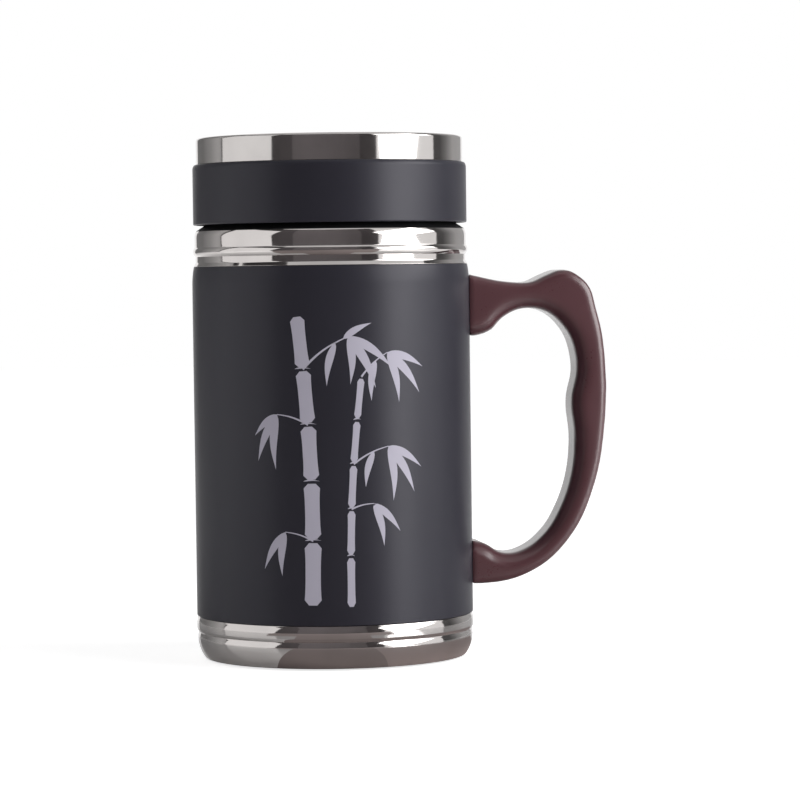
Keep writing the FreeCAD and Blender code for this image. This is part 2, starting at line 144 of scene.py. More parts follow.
# %% [markdown]
# Shader maths reads best as an expression. A small class wraps a node's output, and Python's
# operators add the Math nodes. Every other node comes from one method, which takes the
# node's type, its settings and what goes into its sockets.

# %% Writing materials


class Value:
    """An output in a finish's node tree; plus, minus, times and power add Math nodes."""

    def __init__(self, finish, socket):
        self.finish = finish
        self.socket = socket

    def _math(self, operation, first, second):
        return self.finish.node("ShaderNodeMath", {"operation": operation}, {0: first, 1: second})

    def __add__(self, other):
        return self._math("ADD", self, other)

    def __radd__(self, other):
        return self._math("ADD", other, self)

    def __sub__(self, other):
        return self._math("SUBTRACT", self, other)

    def __rsub__(self, other):
        return self._math("SUBTRACT", other, self)

    def __mul__(self, other):
        return self._math("MULTIPLY", self, other)

    def __rmul__(self, other):
        return self._math("MULTIPLY", other, self)

    def __pow__(self, other):
        return self._math("POWER", self, other)


class Finish:
    """A material while it is being written: a node tree and ways to add to it."""

    def __init__(self, name, tree=None):
        if tree is None:
            self.material = bpy.data.materials.new(name)
            self.material.use_nodes = True
            tree = self.material.node_tree
        self.tree = tree
        tree.nodes.clear()

    def node(self, kind, settings=None, sockets=None, output=0):
        """Adds a node: first its settings or ramp stops, then its sockets' values or links."""
        node = self.tree.nodes.new(kind)
        for name, setting in (settings or {}).items():
            if name == "stops":
                ramp = node.color_ramp.elements
                while len(ramp) < len(setting):
                    ramp.new(1.0)
                for stop, (position, level) in zip(ramp, setting):
                    stop.position = position
                    stop.color = (level, level, level, 1)
            else:
                setattr(node, name, setting)
        for name, value in (sockets or {}).items():
            if isinstance(value, Value):
                self.tree.links.new(value.socket, node.inputs[name])
            else:
                node.inputs[name].default_value = value
        return Value(self, node.outputs[output]) if len(node.outputs) else None

    def place(self):
        """Where on the object a point is, in metres."""
        return self.node("ShaderNodeTexCoord", output="Object")

    def reach(self):
        """How far a point is from the middle of the floor, in metres."""
        where = {0: self.place()}
        return self.node("ShaderNodeVectorMath", {"operation": "LENGTH"}, where, output=1)

    def rays(self, *kinds):
        """For each kind of ray, one when such a ray arrives and otherwise zero."""
        path = self.node("ShaderNodeLightPath").socket.node
        return [Value(self, path.outputs[f"Is {kind} Ray"]) for kind in kinds]

    def noise(self, where, scale, detail=2.0, roughness=0.5):
        sockets = {"Vector": where, "Scale": scale, "Detail": detail, "Roughness": roughness}
        return self.node("ShaderNodeTexNoise", None, sockets)

    def ramp(self, value, *stops):
        """Bends a 0 to 1 value through grey stops of (position, level)."""
        return self.node("ShaderNodeValToRGB", {"stops": stops}, {"Fac": value})

    def blend(self, factor, low, high):
        """Mixes two colours, each a triple or a link."""
        low, high = [c if isinstance(c, Value) else (*c, 1.0) for c in (low, high)]
        sockets = {0: factor, 6: low, 7: high}
        return self.node("ShaderNodeMix", {"data_type": "RGBA"}, sockets, output=2)

    def split(self, place):
        """The three lengths of a place."""
        parts = self.node("ShaderNodeSeparateXYZ", None, {0: place}).socket.node
        return [Value(self, parts.outputs[i]) for i in range(3)]

    def round_place(self, along, across):
        """A place that is the same all round the axis: rings drawn by a polishing wheel."""
        x, y, z = self.split(self.place())
        radius = (x * x + y * y) ** 0.5
        sockets = {0: radius * across, 1: 0.0, 2: z * along}
        return self.node("ShaderNodeCombineXYZ", None, sockets)

    def bump(self, height, strength, distance):
        sockets = {"Strength": strength, "Distance": distance, "Height": height}
        return self.node("ShaderNodeBump", None, sockets)

    def shade(self, **sockets):
        """Ends the tree in one Principled shader and gives the material back."""
        named = {name.replace("_", " "): value for name, value in sockets.items()}
        shader = self.node("ShaderNodeBsdfPrincipled", None, named)
        self.node("ShaderNodeOutputMaterial", None, {"Surface": shader})
        return self.material


print("finish writer ready")

# %% [markdown]
# The background is a plain white, and the metal sees it too, a little dimmer overhead. As a
# source of light it is weaker than it looks, so that the lamps can still shape the mug. The
# Light Path node tells the two apart.

# %% World
WORLD_LEVEL = 0.42
OVERHEAD_LEVEL = 0.6
WHITE = (1, 1, 1, 1)


def white_where_seen(finish, soft_level):
    """One towards the camera and in reflections, and the soft level for all other light."""
    seen = finish.rays("Camera", "Glossy", "Transmission")
    total = finish.node(
        "ShaderNodeMath", {"operation": "ADD", "use_clamp": True}, {0: seen[0] + seen[1], 1: seen[2]}
    )
    return total * (1.0 - soft_level) + soft_level


world = bpy.data.worlds.new("studio")
bpy.context.scene.world = world
world.use_nodes = True
sky = Finish("studio", world.node_tree)
upward = sky.split(sky.node("ShaderNodeTexCoord"))[2]
overhead = sky.ramp(upward, (0.55, 1.0), (0.85, OVERHEAD_LEVEL))
sky_level = white_where_seen(sky, WORLD_LEVEL) * overhead
sky_light = sky.node("ShaderNodeBackground", None, {"Color": WHITE, "Strength": sky_level})
sky.node("ShaderNodeOutputWorld", None, {"Surface": sky_light})
print("world:", world.name)

# %% [markdown]
# The floor glows towards the camera just below white, and the light that falls on it does
# the rest, so open floor is white while the mug's soft shadow still shows. Steel sees that
# glow only further out, because the floor next to a mug is dim. Seen from the mug's side,
# along the floor, it is glossy and mirrors the cards, as a table top does.

# %% Floor
FLOOR_RADIUS = 3.0
FLOOR_DROP = 0.0001
FLOOR_GLOW = 0.75


def set_up(name, bm, finish):
    """Puts a bmesh into the scene as an object of one finish."""
    mesh = bpy.data.meshes.new(name)
    bm.to_mesh(mesh)
    bm.free()
    mesh.materials.append(finish)
    return link(bpy.data.objects.new(name, mesh))


pale_floor = Finish("pale_floor")
matte = pale_floor.node("ShaderNodeBsdfDiffuse", None, {"Color": (0.85, 0.85, 0.85, 1)})
# Towards reflections the glow fades close to the mug: a painted shadow of the mug on the floor.
open_floor = pale_floor.ramp(pale_floor.reach(), (0.07, 0.0), (0.40, 1.0))
camera_ray, mirrored_ray = pale_floor.rays("Camera", "Glossy")
seen_level = camera_ray + (1.0 - camera_ray) * open_floor
glow_level = white_where_seen(pale_floor, 0.0) * seen_level * FLOOR_GLOW
glow = pale_floor.node("ShaderNodeEmission", None, {"Color": WHITE, "Strength": glow_level})
lit = pale_floor.node("ShaderNodeAddShader", None, {0: matte, 1: glow})
mirror = pale_floor.node("ShaderNodeBsdfGlossy", None, {"Color": WHITE, "Roughness": 0.08})
flat_view = pale_floor.node("ShaderNodeFresnel", None, {"IOR": 1.5})
mixed = pale_floor.node("ShaderNodeMixShader", None, {0: mirrored_ray * flat_view, 1: lit, 2: mirror})
pale_floor.node("ShaderNodeOutputMaterial", None, {"Surface": mixed})

disc = bmesh.new()
bmesh.ops.create_circle(disc, cap_ends=True, segments=64, radius=FLOOR_RADIUS)
bmesh.ops.translate(disc, verts=disc.verts, vec=(0, 0, -FLOOR_DROP))
floor = set_up("floor", disc, pale_floor.material)
print("floor:", 2 * FLOOR_RADIUS, "m across")

# %% [markdown]
# What makes a steel ring look round is the dark it mirrors. Tall cards stand round the mug,
# bent to circles: dark ones behind the camera, a black one behind the left lamp, and two
# walls at the sides whose grey is graded, a painted fall of light such as a room's walls show.
# Low mats lie on the floor, where the foot and the beads look down: painted floor shade in a
# warm grey-brown, darker close to the mug as a painted shadow. The camera sees none of them,
# and the mats throw no light and no shadow.

# %% Cards
CARD_HEIGHT = 1.6
CARD_ROUGHNESS = 0.9
MAT_HEIGHT = 0.0002
MAT_START = 0.0365


def plain_card(name, level):
    """Warm grey card of one level."""
    colour = (level, level * 0.92, level * 0.95, 1)
    return Finish(name).shade(Base_Color=colour, Roughness=CARD_ROUGHNESS)


def graded_card(name, side, *stops):
    """Card whose grey changes along x, to the left, or along y, to the back: painted fall of light."""
    finish = Finish(name)
    across = finish.split(finish.place())[side]
    reach = across * (0.8 if side else -0.8)
    return finish.shade(Base_Color=finish.ramp(reach, *stops), Roughness=CARD_ROUGHNESS)


def floor_shade_card(name, near, far):
    """Painted floor shade in a warm grey-brown, darker close to the mug as a painted shadow."""
    finish = Finish(name)
    out = finish.ramp(finish.reach(), (0.05, 0.0), (0.13, 1.0))
    tints = [(level, level * 0.865, level * 0.845) for level in (near, far)]
    return finish.shade(Base_Color=finish.blend(out, *tints), Roughness=CARD_ROUGHNESS)


def card_round(name, start, end, low, high, card):
    """A card bent round the mug between two azimuths, from one (radius, height) to another."""
    bm = bmesh.new()
    outward = around(CAMERA_AZIMUTH + math.radians(start))
    ends = [bm.verts.new(outward * radius + Vector((0, 0, height))) for radius, height in (low, high)]
    bmesh.ops.spin(
        bm,
        geom=[*ends, bm.edges.new(ends)],
        cent=(0, 0, 0),
        axis=(0, 0, 1),
        angle=math.radians(end - start),
        steps=16,
    )
    obj = set_up(name, bm, card)
    obj.visible_camera = False
    return obj


# The side walls' graded grey is a painted fall of light, not the walls' own colour.
left_wall = graded_card("left_wall", 0, (0.56, 0.34), (0.76, 0.60), (0.86, 0.88))
right_wall = graded_card("right_wall", 1, (0.20, 0.20), (0.33, 0.38), (0.54, 0.80))
BOARDS = [
    ("near_left_board", -49, -31, 1.5, plain_card("dark_card", 0.18)),
    ("middle_board", -32, 27, 1.51, plain_card("brown_card", 0.31)),
    ("near_right_board", 26, 40.5, 1.5, plain_card("dark_right_card", 0.17)),
    ("left_lamp_back", -104, -48, 1.15, plain_card("black_card", 0.06)),
    ("left_board", -156, -101, 1.2, left_wall),
    ("right_board", 100, 158, 1.2, right_wall),
]
for name, start, end, distance, card in BOARDS:
    card_round(name, start, end, (distance, 0), (distance, CARD_HEIGHT), card)
# The mats are painted floor shade that only reflections see, with a painted shadow near the mug.
MATS = [
    ("front_mat", -26, 23, MAT_START, 0.10, floor_shade_card("front_mat", 0.33, 0.44)),
    ("far_mat", -48, 40.5, 0.10, 1.45, floor_shade_card("far_mat", 0.33, 0.44)),
    ("right_mat", 23, 120, MAT_START, 0.07, floor_shade_card("right_mat", 0.45, 0.50)),
]
for name, start, end, near, far, card in MATS:
    mat = card_round(name, start, end, (near, MAT_HEIGHT), (far, MAT_HEIGHT), card)
    mat.visible_diffuse = False
    mat.visible_shadow = False
print("cards:", [facts[0] for facts in BOARDS + MATS])

# %% [markdown]
# Most of this mug is turned: drawn as half a section and swung round the axis. Spin does
# the swing. Each corner of a section carries its own rounding, which a bevel on the ring
# of edges at that corner then cuts, because no pressed or moulded edge is truly sharp.

# %% Turning and finishing pieces
SHARP_ANGLE = math.radians(38)
ON_CORNER = 0.002


def smooth(obj):
    """Soft shading that keeps flat bands flat and breaks only at sharp edges."""
    for face in obj.data.polygons:
        face.use_smooth = True
    obj.data.set_sharp_from_angle(angle=SHARP_ANGLE)
    even = obj.modifiers.new("even_shading", "WEIGHTED_NORMAL")
    even.keep_sharp = True


def piece(name, bm, body, finish, stands_for=()):
    """Ends a piece: millimetres to metres, its finish, its body and what it replaces."""
    bmesh.ops.scale(bm, vec=(MM, MM, MM), verts=bm.verts)
    obj = set_up(name, bm, finish)
    smooth(obj)
    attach(obj, body)
    if stands_for:
        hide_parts(*stands_for)
    print(name, "has", len(obj.data.polygons), "faces and rides on", body)


def corner_edges(bm, radius, height):
    """The ring of edges that a section's corner has drawn round the axis."""

    def on_corner(vert):
        off_radius = abs(vert.co.xy.length - radius)
        return off_radius < ON_CORNER and abs(vert.co.z - height) < ON_CORNER

    return [e for e in bm.edges if on_corner(e.verts[0]) and on_corner(e.verts[1])]


def turned(corners):
    """Spins a closed section of (radius, height, rounding) corners round the axis."""
    bm = bmesh.new()
    spots = [bm.verts.new((radius, 0, height)) for radius, height, _ in corners]
    edges = []
    for first, second in zip(spots, spots[1:] + spots[:1]):
        if first.co.x > 0 or second.co.x > 0:
            edges.append(bm.edges.new((first, second)))
    bmesh.ops.spin(
        bm,
        geom=spots + edges,
        cent=(0, 0, 0),
        axis=(0, 0, 1),
        angle=math.tau,
        steps=TURN_STEPS,
        use_merge=True,
    )
    bmesh.ops.remove_doubles(bm, verts=bm.verts, dist=ON_CORNER / 4)
    bmesh.ops.recalc_face_normals(bm, faces=bm.faces)
    for radius, height, rounding in corners:
        if rounding > 0:
            bmesh.ops.bevel(
                bm,
                geom=corner_edges(bm, radius, height),
                offset=rounding,
                offset_type="OFFSET",
                segments=4,
                profile=0.5,
                affect="EDGES",
                clamp_overlap=True,
                material=-1,
            )
    return bm


def bulged(start, end, rise, steps=8):
    """Corners on a shallow arc between two (radius, height) points, standing out by rise."""
    start, end = Vector(start), Vector(end)
    chord = end - start
    outward = Vector((chord.y, -chord.x)).normalized()
    spots = []
    for i in range(steps + 1):
        reach = i / steps
        spots.append(start + chord * reach + outward * (rise * 4 * reach * (1 - reach)))
    return [(spot.x, spot.y, 0) for spot in spots]


print("turning tools ready")

# %% [markdown]
# The tube is sprayed with a matte black that has a fine grain, like very fine sandpaper.
# The grain is too small to model, so a fine noise drives a bump. A second, slow noise stirs
# the roughness and keeps the colour from being one flat black. The print is a pale paint of
# the same kind, with less shine.

# %% Black paint
GRAIN_SCALE = 3200.0
GRAIN_DEPTH = 0.00004
PAINT_DRIFT_SCALE = 38.0
PAINT_SPREAD = 0.08


def painted(name, low, high, rough, shine):
    """Sprayed paint between two colours, its roughness spread evenly about a middle."""
    finish = Finish(name)
    place = finish.place()
    grain = finish.noise(place, GRAIN_SCALE, 3.0, 0.6)
    drift = finish.noise(place, PAINT_DRIFT_SCALE, 2.0)
    return finish.shade(
        Base_Color=finish.blend(drift, low, high),
        Roughness=drift * PAINT_SPREAD + (rough - PAINT_SPREAD / 2),
        Normal=finish.bump(grain, 0.35, GRAIN_DEPTH),
        Specular_IOR_Level=shine,
        Specular_Tint=(0.96, 0.95, 1.0, 1),
    )


print_ink = painted("print_ink", (0.55, 0.525, 0.625), (0.60, 0.575, 0.675), 0.52, 0.32)
black_paint = painted("black_paint", (0.0265, 0.0255, 0.0355), (0.0310, 0.0300, 0.0415), 0.37, 0.34)
print("made", black_paint.name, print_ink.name)

# %% [markdown]
# Steel comes in three finishes. The rings are buffed to a mirror and keep faint lines that
# run round them, left by the polishing wheel. The lid's cap is buffed too at its side, and
# its flat top is brushed in circles and is softer. The strainer is plain sheet, and duller.
# The lines read a place that is the same all the way round, so they never meet at a seam.

# %% Steel
FINE_LINES = 9000.0
BRUSHED_LINES = FINE_LINES / 7
SMEAR_SCALE = 55.0
DULLED = 0.86
NEVER_BRUSHED = 1.0
CAP_BRUSHED_FROM = 0.14625


def steel(name, colour, rough, spread, line_depth, brushed_from=NEVER_BRUSHED):
    """Steel with fine lines round the axis, and brushed in rings above a height in metres."""
    finish = Finish(name)
    fine = finish.noise(finish.round_place(FINE_LINES, FINE_LINES), 1.0, 3.0, 0.7)
    rings = finish.noise(finish.round_place(BRUSHED_LINES, BRUSHED_LINES), 1.0, 2.0, 0.6)
    smear = finish.noise(finish.place(), SMEAR_SCALE, 3.0)
    height = finish.split(finish.place())[2]
    brushed = finish.node("ShaderNodeMath", {"operation": "GREATER_THAN"}, {0: height, 1: brushed_from})
    buffed = 1.0 - brushed
    smear_tone = finish.ramp(smear, (0.35, 0.0), (0.7, 1.0)) * buffed
    ring_tone = finish.ramp(rings, (0.3, 0.0), (0.7, 1.0)) * brushed
    buffed_rough = smear * buffed * spread + fine * (spread * 0.5)
    return finish.shade(
        Base_Color=finish.blend(smear_tone + ring_tone, colour, tuple(part * DULLED for part in colour)),
        Metallic=1.0,
        Roughness=buffed_rough + brushed * (rings * 0.22 + 0.06) + rough,
        Normal=finish.bump(fine * (brushed * 3.0 + 1.0), 0.3, line_depth),
    )


polished_steel = steel("polished_steel", (0.70, 0.665, 0.65), 0.03, 0.05, 0.000001)
brushed_steel = steel("brushed_steel", (0.68, 0.65, 0.635), 0.035, 0.05, 0.000001, CAP_BRUSHED_FROM)
sheet_steel = steel("sheet_steel", (0.60, 0.59, 0.58), 0.22, 0.20, 0.00001)
print("made", polished_steel.name, brushed_steel.name, sheet_steel.name)

# %% [markdown]
# The plastics and the silicone are moulded against a satin tool. A fine noise gives the
# tool's texture, and a slow one the slight unevenness that thick mouldings always show. The
# handle's maroon is a glossier plastic, which a clear coat over the colour stands for.

# %% Plastics and rubber
TOOL_TEXTURE_SCALE = 1800.0
TOOL_TEXTURE_DEPTH = 0.00002
MOULDING_DRIFT_SCALE = 60.0


def moulded(name, low, high, rough, **more):
    """A moulded finish between two colours, its roughness spread evenly about a middle."""
    finish = Finish(name)
    place = finish.place()
    skin = finish.noise(place, TOOL_TEXTURE_SCALE, 2.0, 0.6)
    drift = finish.noise(place, MOULDING_DRIFT_SCALE, 3.0)
    return finish.shade(
        Base_Color=finish.blend(drift, low, high),
        Roughness=skin * 0.10 + drift * 0.08 + (rough - 0.09),
        Normal=finish.bump(skin + drift * 0.6, 0.25, TOOL_TEXTURE_DEPTH),
        **more,
    )


maroon_plastic = moulded(
    "maroon_plastic",
    (0.094, 0.033, 0.040),
    (0.114, 0.041, 0.049),
    0.30,
    Coat_Weight=0.7,
    Coat_Roughness=0.22,
)
black_plastic = moulded("black_plastic", (0.010, 0.010, 0.011), (0.014, 0.014, 0.015), 0.38)
foot_silicone = moulded("foot_silicone", (0.018, 0.018, 0.018), (0.024, 0.024, 0.024), 0.62)
clear_silicone = moulded("clear_silicone", (0.50, 0.50, 0.48), (0.56, 0.56, 0.54), 0.42)
print("made", maroon_plastic.name, black_plastic.name, foot_silicone.name, clear_silicone.name)

# %% [markdown]
# The cup inside is unglazed purple clay. Its colour comes from grains of sand in it: paler
# and darker specks in a warm brown, with a dry, faintly rough skin and the shallow rings
# that a turning tool leaves on the wall.

# %% Clay
SAND_SCALE = 1500.0
CLOUD_SCALE = 60.0
TOOL_RINGS = 420.0
CLAY_RELIEF = 0.00012
clay_writer = Finish("purple_clay")
clay_place = clay_writer.place()
clay_specks = clay_writer.noise(clay_place, SAND_SCALE, 2.0, 0.7)
clay_cloud = clay_writer.noise(clay_place, CLOUD_SCALE, 3.0)
clay_rings = clay_writer.noise(clay_writer.round_place(TOOL_RINGS, TOOL_RINGS), 1.0, 1.0)
clay_body = clay_writer.blend(clay_cloud, (0.125, 0.055, 0.042), (0.165, 0.076, 0.058))
clay_pale = clay_writer.ramp(clay_specks, (0.60, 0.0), (0.72, 1.0))
clay_colour = clay_writer.blend(clay_pale * 0.5, clay_body, (0.34, 0.22, 0.17))
purple_clay = clay_writer.shade(
    Base_Color=clay_colour,
    Roughness=clay_specks * 0.15 + 0.68,
    Normal=clay_writer.bump(clay_specks * 0.5 + clay_rings, 0.4, CLAY_RELIEF),
)
print("made", purple_clay.name)

# %% [markdown]
# The painted tube draws in at its top, where the polished ring takes over, so its upper
# corner gets a wide rounding. Its lower edge meets the foot with a small one.

# %% Tube
TUBE_WALL = 1.0
TUBE_DROP = 3.0
TUBE_INSET = 0.5
tube_inner = shell_radius - TUBE_WALL
tube = turned(
    [
        (tube_inner, tube_bottom, 0),
        (shell_radius, tube_bottom, 0.15),
        (shell_radius, tube_top - TUBE_DROP, 2.0),
        (shell_radius - TUBE_INSET, tube_top, 0.25),
        (tube_inner, tube_top, 0),
    ]
)
piece("painted_tube", tube, "cup", black_paint, ["shell_tube"])

# %% [markdown]
# The print is bamboo, drawn as an ink painter would: each stalk in short strokes that swell
# at their ends, a thin gap at every joint, and twigs whose pointed leaves droop. Every
# stroke is a small flat grid, pinched to its outline and laid out on a flat sheet in
# millimetres, so it has a crisp edge from any distance and needs no picture file.

# %% Brush strokes
STROKE_CELLS_ALONG = 12
STROKE_CELLS_ACROSS = 4
JOINT_GAP = 0.55
JOINT_MARK_WIDTH = 0.42
TWIG_BOW = 0.06


def stroke(bm, start, end, width, outline, bend=0.0):
    """Adds one flat brush stroke from start to end, its width shaped by an outline."""
    start, end = Vector((*start, 0)), Vector((*end, 0))
    length = (end - start).length
    made = bmesh.ops.create_grid(
        bm, x_segments=STROKE_CELLS_ALONG, y_segments=STROKE_CELLS_ACROSS, size=0.5
    )["verts"]
    for vert in made:
        reach = vert.co.x + 0.5
        vert.co.y = vert.co.y * outline(reach) * width + bend * math.sin(math.pi * reach)
        vert.co.x = reach * length
    turn = Matrix.Rotation(math.atan2(end.y - start.y, end.x - start.x), 3, "Z")
    bmesh.ops.rotate(bm, verts=made, cent=(0, 0, 0), matrix=turn)
    bmesh.ops.translate(bm, verts=made, vec=start)


def leaf_outline(reach):
    return math.sin(math.pi * reach**0.7) * (1.0 - 0.2 * reach)


def stalk_outline(reach):
    flare = 0.84 + 0.16 * abs(2 * reach - 1) ** 3
    return flare * min(1.0, (math.sin(math.pi * reach) * 8 + 0.45))


def twig_outline(reach):
    return 1.0 - 0.6 * reach


def stalk(bm, foot, head, width, joints, sway):
    """A stalk of stroke after stroke, with a gap and a thin ridge mark at each joint."""
    foot, head = Vector(foot), Vector(head)
    gap = JOINT_GAP / (head - foot).length
    knots = []
    for i in range(joints + 1):
        reach = (i / joints) ** 0.92
        aside = Vector((sway * math.sin(math.pi * reach), 0))
        knots.append((reach, foot.lerp(head, reach) + aside))
    for (low, start), (high, end) in zip(knots, knots[1:]):
        step = (end - start) * (gap / (high - low))
        stroke(bm, start + step, end - step, width * (1.0 - 0.16 * low), stalk_outline)
        if high < 1.0:
            half = width * 0.46
            left, right = end - Vector((half, -0.1)), end + Vector((half, 0.1))
            stroke(bm, left, right, JOINT_MARK_WIDTH, leaf_outline, bend=0.3)
    return [spot for _, spot in knots]


def spray(bm, start, end, width, leaves):
    """A twig with drooping leaves: (share along the twig, direction in degrees, length, width)."""
    start, end = Vector(start), Vector(end)
    side = (end - start).orthogonal().normalized()
    bow = TWIG_BOW * (end - start).length * math.copysign(1, end.x - start.x)
    stroke(bm, start, end, width, twig_outline, bend=bow)
    for share, direction, length, leaf_width in leaves:
        root = start.lerp(end, share) + side * (bow * math.sin(math.pi * share))
        tip = root + Vector((length, 0)) @ Matrix.Rotation(-math.radians(direction), 2)
        lean = math.copysign(1, math.cos(math.radians(direction)))
        stroke(bm, root, tip, leaf_width, leaf_outline, bend=length * TWIG_BOW * lean)


print("brush ready")

# %% [markdown]
# Two stalks make the print, a tall one and a thin one, and six twigs leave them at their
# joints. When the sheet is full it is wrapped on the tube, facing the camera, as a skin a
# fiftieth of a millimetre thick.

# %% Bamboo print
PRINT_LIFT = 0.025
INK_THICKNESS = 0.02
bamboo = bmesh.new()
tall = stalk(bamboo, (-6.0, 17.5), (-9.5, 97.0), 5.0, 5, 1.6)
thin = stalk(bamboo, (4.5, 17.0), (8.0, 80.0), 2.4, 5, -1.2)
TOP_LEFT = [(1, -35, 15, 2.6), (1, -62, 16, 2.8), (1, -88, 13, 2.4), (0.75, -102, 12, 2.3)]
TOP_RIGHT = [(1, -20, 12, 2.3), (1, -48, 15, 2.7), (1, -76, 14, 2.5), (0.6, -97, 11, 2.2)]
MIDDLE_LEFT = [(1, -115, 14, 2.5), (1, -92, 15, 2.6), (1, -140, 9, 2.0)]
MIDDLE_RIGHT = [(1, -30, 12, 2.3), (1, -58, 15, 2.7), (1, -85, 15, 2.5), (0.6, -104, 10, 2.1)]
SPRAYS = [
    (tall[4], (4.5, 91.0), 0.7, TOP_LEFT + [(0.9, 28, 9, 2.0)]),
    (thin[5], (15.5, 86.5), 0.55, TOP_RIGHT),
    (tall[3], (-15.5, 70.0), 0.6, MIDDLE_LEFT),
    (thin[3], (15.5, 61.0), 0.55, MIDDLE_RIGHT),
    (thin[2], (11.0, 45.5), 0.5, [(1, -45, 11, 2.2), (1, -76, 12, 2.3)]),
    (tall[1], (-13.5, 38.0), 0.5, [(1, -122, 12, 2.3), (1, -95, 12, 2.4)]),
]
for root, twig_end, width, leaves in SPRAYS:
    spray(bamboo, root, twig_end, width, leaves)
bmesh.ops.remove_doubles(bamboo, verts=bamboo.verts, dist=ON_CORNER)
flat_ink = max(v.co.x for v in bamboo.verts) - min(v.co.x for v in bamboo.verts)
print("print:", round(flat_ink, 1), "mm round the tube")

print_radius = shell_radius + PRINT_LIFT
for vert in bamboo.verts:
    sheet_across, sheet_up = vert.co.x, vert.co.y
    spot = around(CAMERA_AZIMUTH + sheet_across / shell_radius) * print_radius
    vert.co = (spot.x, spot.y, sheet_up)
bmesh.ops.recalc_face_normals(bamboo, faces=bamboo.faces)
bmesh.ops.solidify(bamboo, geom=bamboo.faces[:], thickness=INK_THICKNESS)
bmesh.ops.recalc_face_normals(bamboo, faces=bamboo.faces)
piece("bamboo_print", bamboo, "cup", print_ink)

# %% [markdown]
# The ring above the paint is one steel pressing. From below it has a small flare that sits
# on the paint, a narrow band, a round bead, a wide band and an edge that rolls inward. Each
# shape shows the room its own way: the bands are a dark mirror, while the bead shows a
# light line of ceiling, a dark line of boards and a light line of floor.

# %% Rolled ring
_, ring_bottom, ring_top = spans("upper_ring")
RING_INNER = 36.8
FLARE_RADIUS = 38.6
FLARE_HEIGHT = 1.1
BAND_LOW_RADIUS = 38.0
BAND_HIGH_RADIUS = 38.2
BEAD_BOTTOM = 113.15
BEAD_TOP = 115.8
BEAD_RISE = 0.55
ROLL_HEIGHT = 1.9
ROLL_RADIUS = 37.8
LIP_RADIUS = 37.5
rolled_ring = turned(
    [
        (RING_INNER, ring_bottom, 0),
        (FLARE_RADIUS, ring_bottom, 0.1),
        (BAND_LOW_RADIUS, ring_bottom + FLARE_HEIGHT, 0.2),
        *bulged((BAND_LOW_RADIUS, BEAD_BOTTOM), (BAND_HIGH_RADIUS, BEAD_TOP), BEAD_RISE, 16),
        *bulged((BAND_HIGH_RADIUS, ring_top - ROLL_HEIGHT), (ROLL_RADIUS, ring_top - 0.05), 0.12),
        (LIP_RADIUS, ring_top, 0),
        (RING_INNER, ring_top, 0),
    ]
)
piece("rolled_ring", rolled_ring, "cup", polished_steel, ["upper_ring"])

# %% [markdown]
# The foot is a second pressing. From above it has a barrel-shaped band that tucks under into
# a groove, then a soft bead whose upper side catches the lamps, and below the bead's nose a
# long curve that draws in to the edge that the mug is lifted by.

# %% Foot
foot_radius, foot_bottom, foot_top = spans("base_ring")
FOOT_INNER = 35.6
FOOT_EDGE = 36.75
BEAD_NOSE = 38.75
NOSE_LOW = 5.6
NOSE_HIGH = 6.0
FOOT_GROOVE = 38.5
GROOVE_LOW = 7.65
GROOVE_HIGH = 7.8
BELLY_HEIGHT = 10.2
foot = turned(
    [
        (FOOT_INNER, foot_bottom, 0),
        (FOOT_EDGE, foot_bottom, 0.25),
        *bulged((FOOT_EDGE + 0.3, foot_bottom + 0.35), (BEAD_NOSE, NOSE_LOW), 0.35, 12),
        *bulged((BEAD_NOSE + 0.03, NOSE_HIGH), (FOOT_GROOVE, GROOVE_LOW), 0.07),
        (FOOT_GROOVE, GROOVE_HIGH, 0),
        *bulged((FOOT_GROOVE + 0.15, 7.95), (foot_radius - 0.02, 8.8), 0.05, 4),
        *bulged((foot_radius, BELLY_HEIGHT), (foot_radius - 0.32, foot_top - 0.5), 0.06),
        *bulged((foot_radius - 0.32, foot_top - 0.45), (foot_radius - 0.6, foot_top), 0.08, 4),
        (FOOT_INNER, foot_top, 0),
    ]
)
piece("steel_foot", foot, "cup", polished_steel, ["base_ring"])

# %% [markdown]
# The lid screws on by a thread with three starts, so a turn and a bit frees it. A helix is
# a section that turns and climbs: each step extrudes its end face, turns it a little and
# lifts it a little. The neck carries ridges outside and the lid carries ridges inside, half
# a pitch apart, so that they pass between each other as the lid turns.

# %% Threads
THREAD_LEAD = 12.0
THREAD_STARTS = 3
THREAD_PITCH = THREAD_LEAD / THREAD_STARTS
THREAD_RISE = 11.0
THREAD_STEPS = 96
RIDGE_HALF_ROOT = 0.85
RIDGE_HALF_CREST = 0.4
RIDGE_SUNK = 0.2


def thread(bm, root, crest, start_height):
    """Adds the helical ridges of a thread that climbs from a start height."""
    turns = THREAD_RISE / THREAD_LEAD
    steps = int(THREAD_STEPS * turns)
    step_turn = Matrix.Rotation(math.tau * turns / steps, 3, "Z")
    section = [
        (root, -RIDGE_HALF_ROOT),
        (crest, -RIDGE_HALF_CREST),
        (crest, RIDGE_HALF_CREST),
        (root, RIDGE_HALF_ROOT),
    ]
    for start in range(THREAD_STARTS):
        spots = [bm.verts.new((radius, 0, start_height + up)) for radius, up in section]
        end = [bm.faces.new(spots)]
        turn = Matrix.Rotation(math.tau * start / THREAD_STARTS, 3, "Z")
        bmesh.ops.rotate(bm, verts=spots, cent=(0, 0, 0), matrix=turn)
        for step in range(steps):
            ridge = bmesh.ops.extrude_face_region(bm, geom=end, use_keep_orig=step == 0)["geom"]
            end = [part for part in ridge if isinstance(part, bmesh.types.BMFace)]
            end_spots = [part for part in ridge if isinstance(part, bmesh.types.BMVert)]
            bmesh.ops.rotate(bm, verts=end_spots, cent=(0, 0, 0), matrix=step_turn)
            bmesh.ops.translate(bm, verts=end_spots, vec=(0, 0, THREAD_RISE / steps))


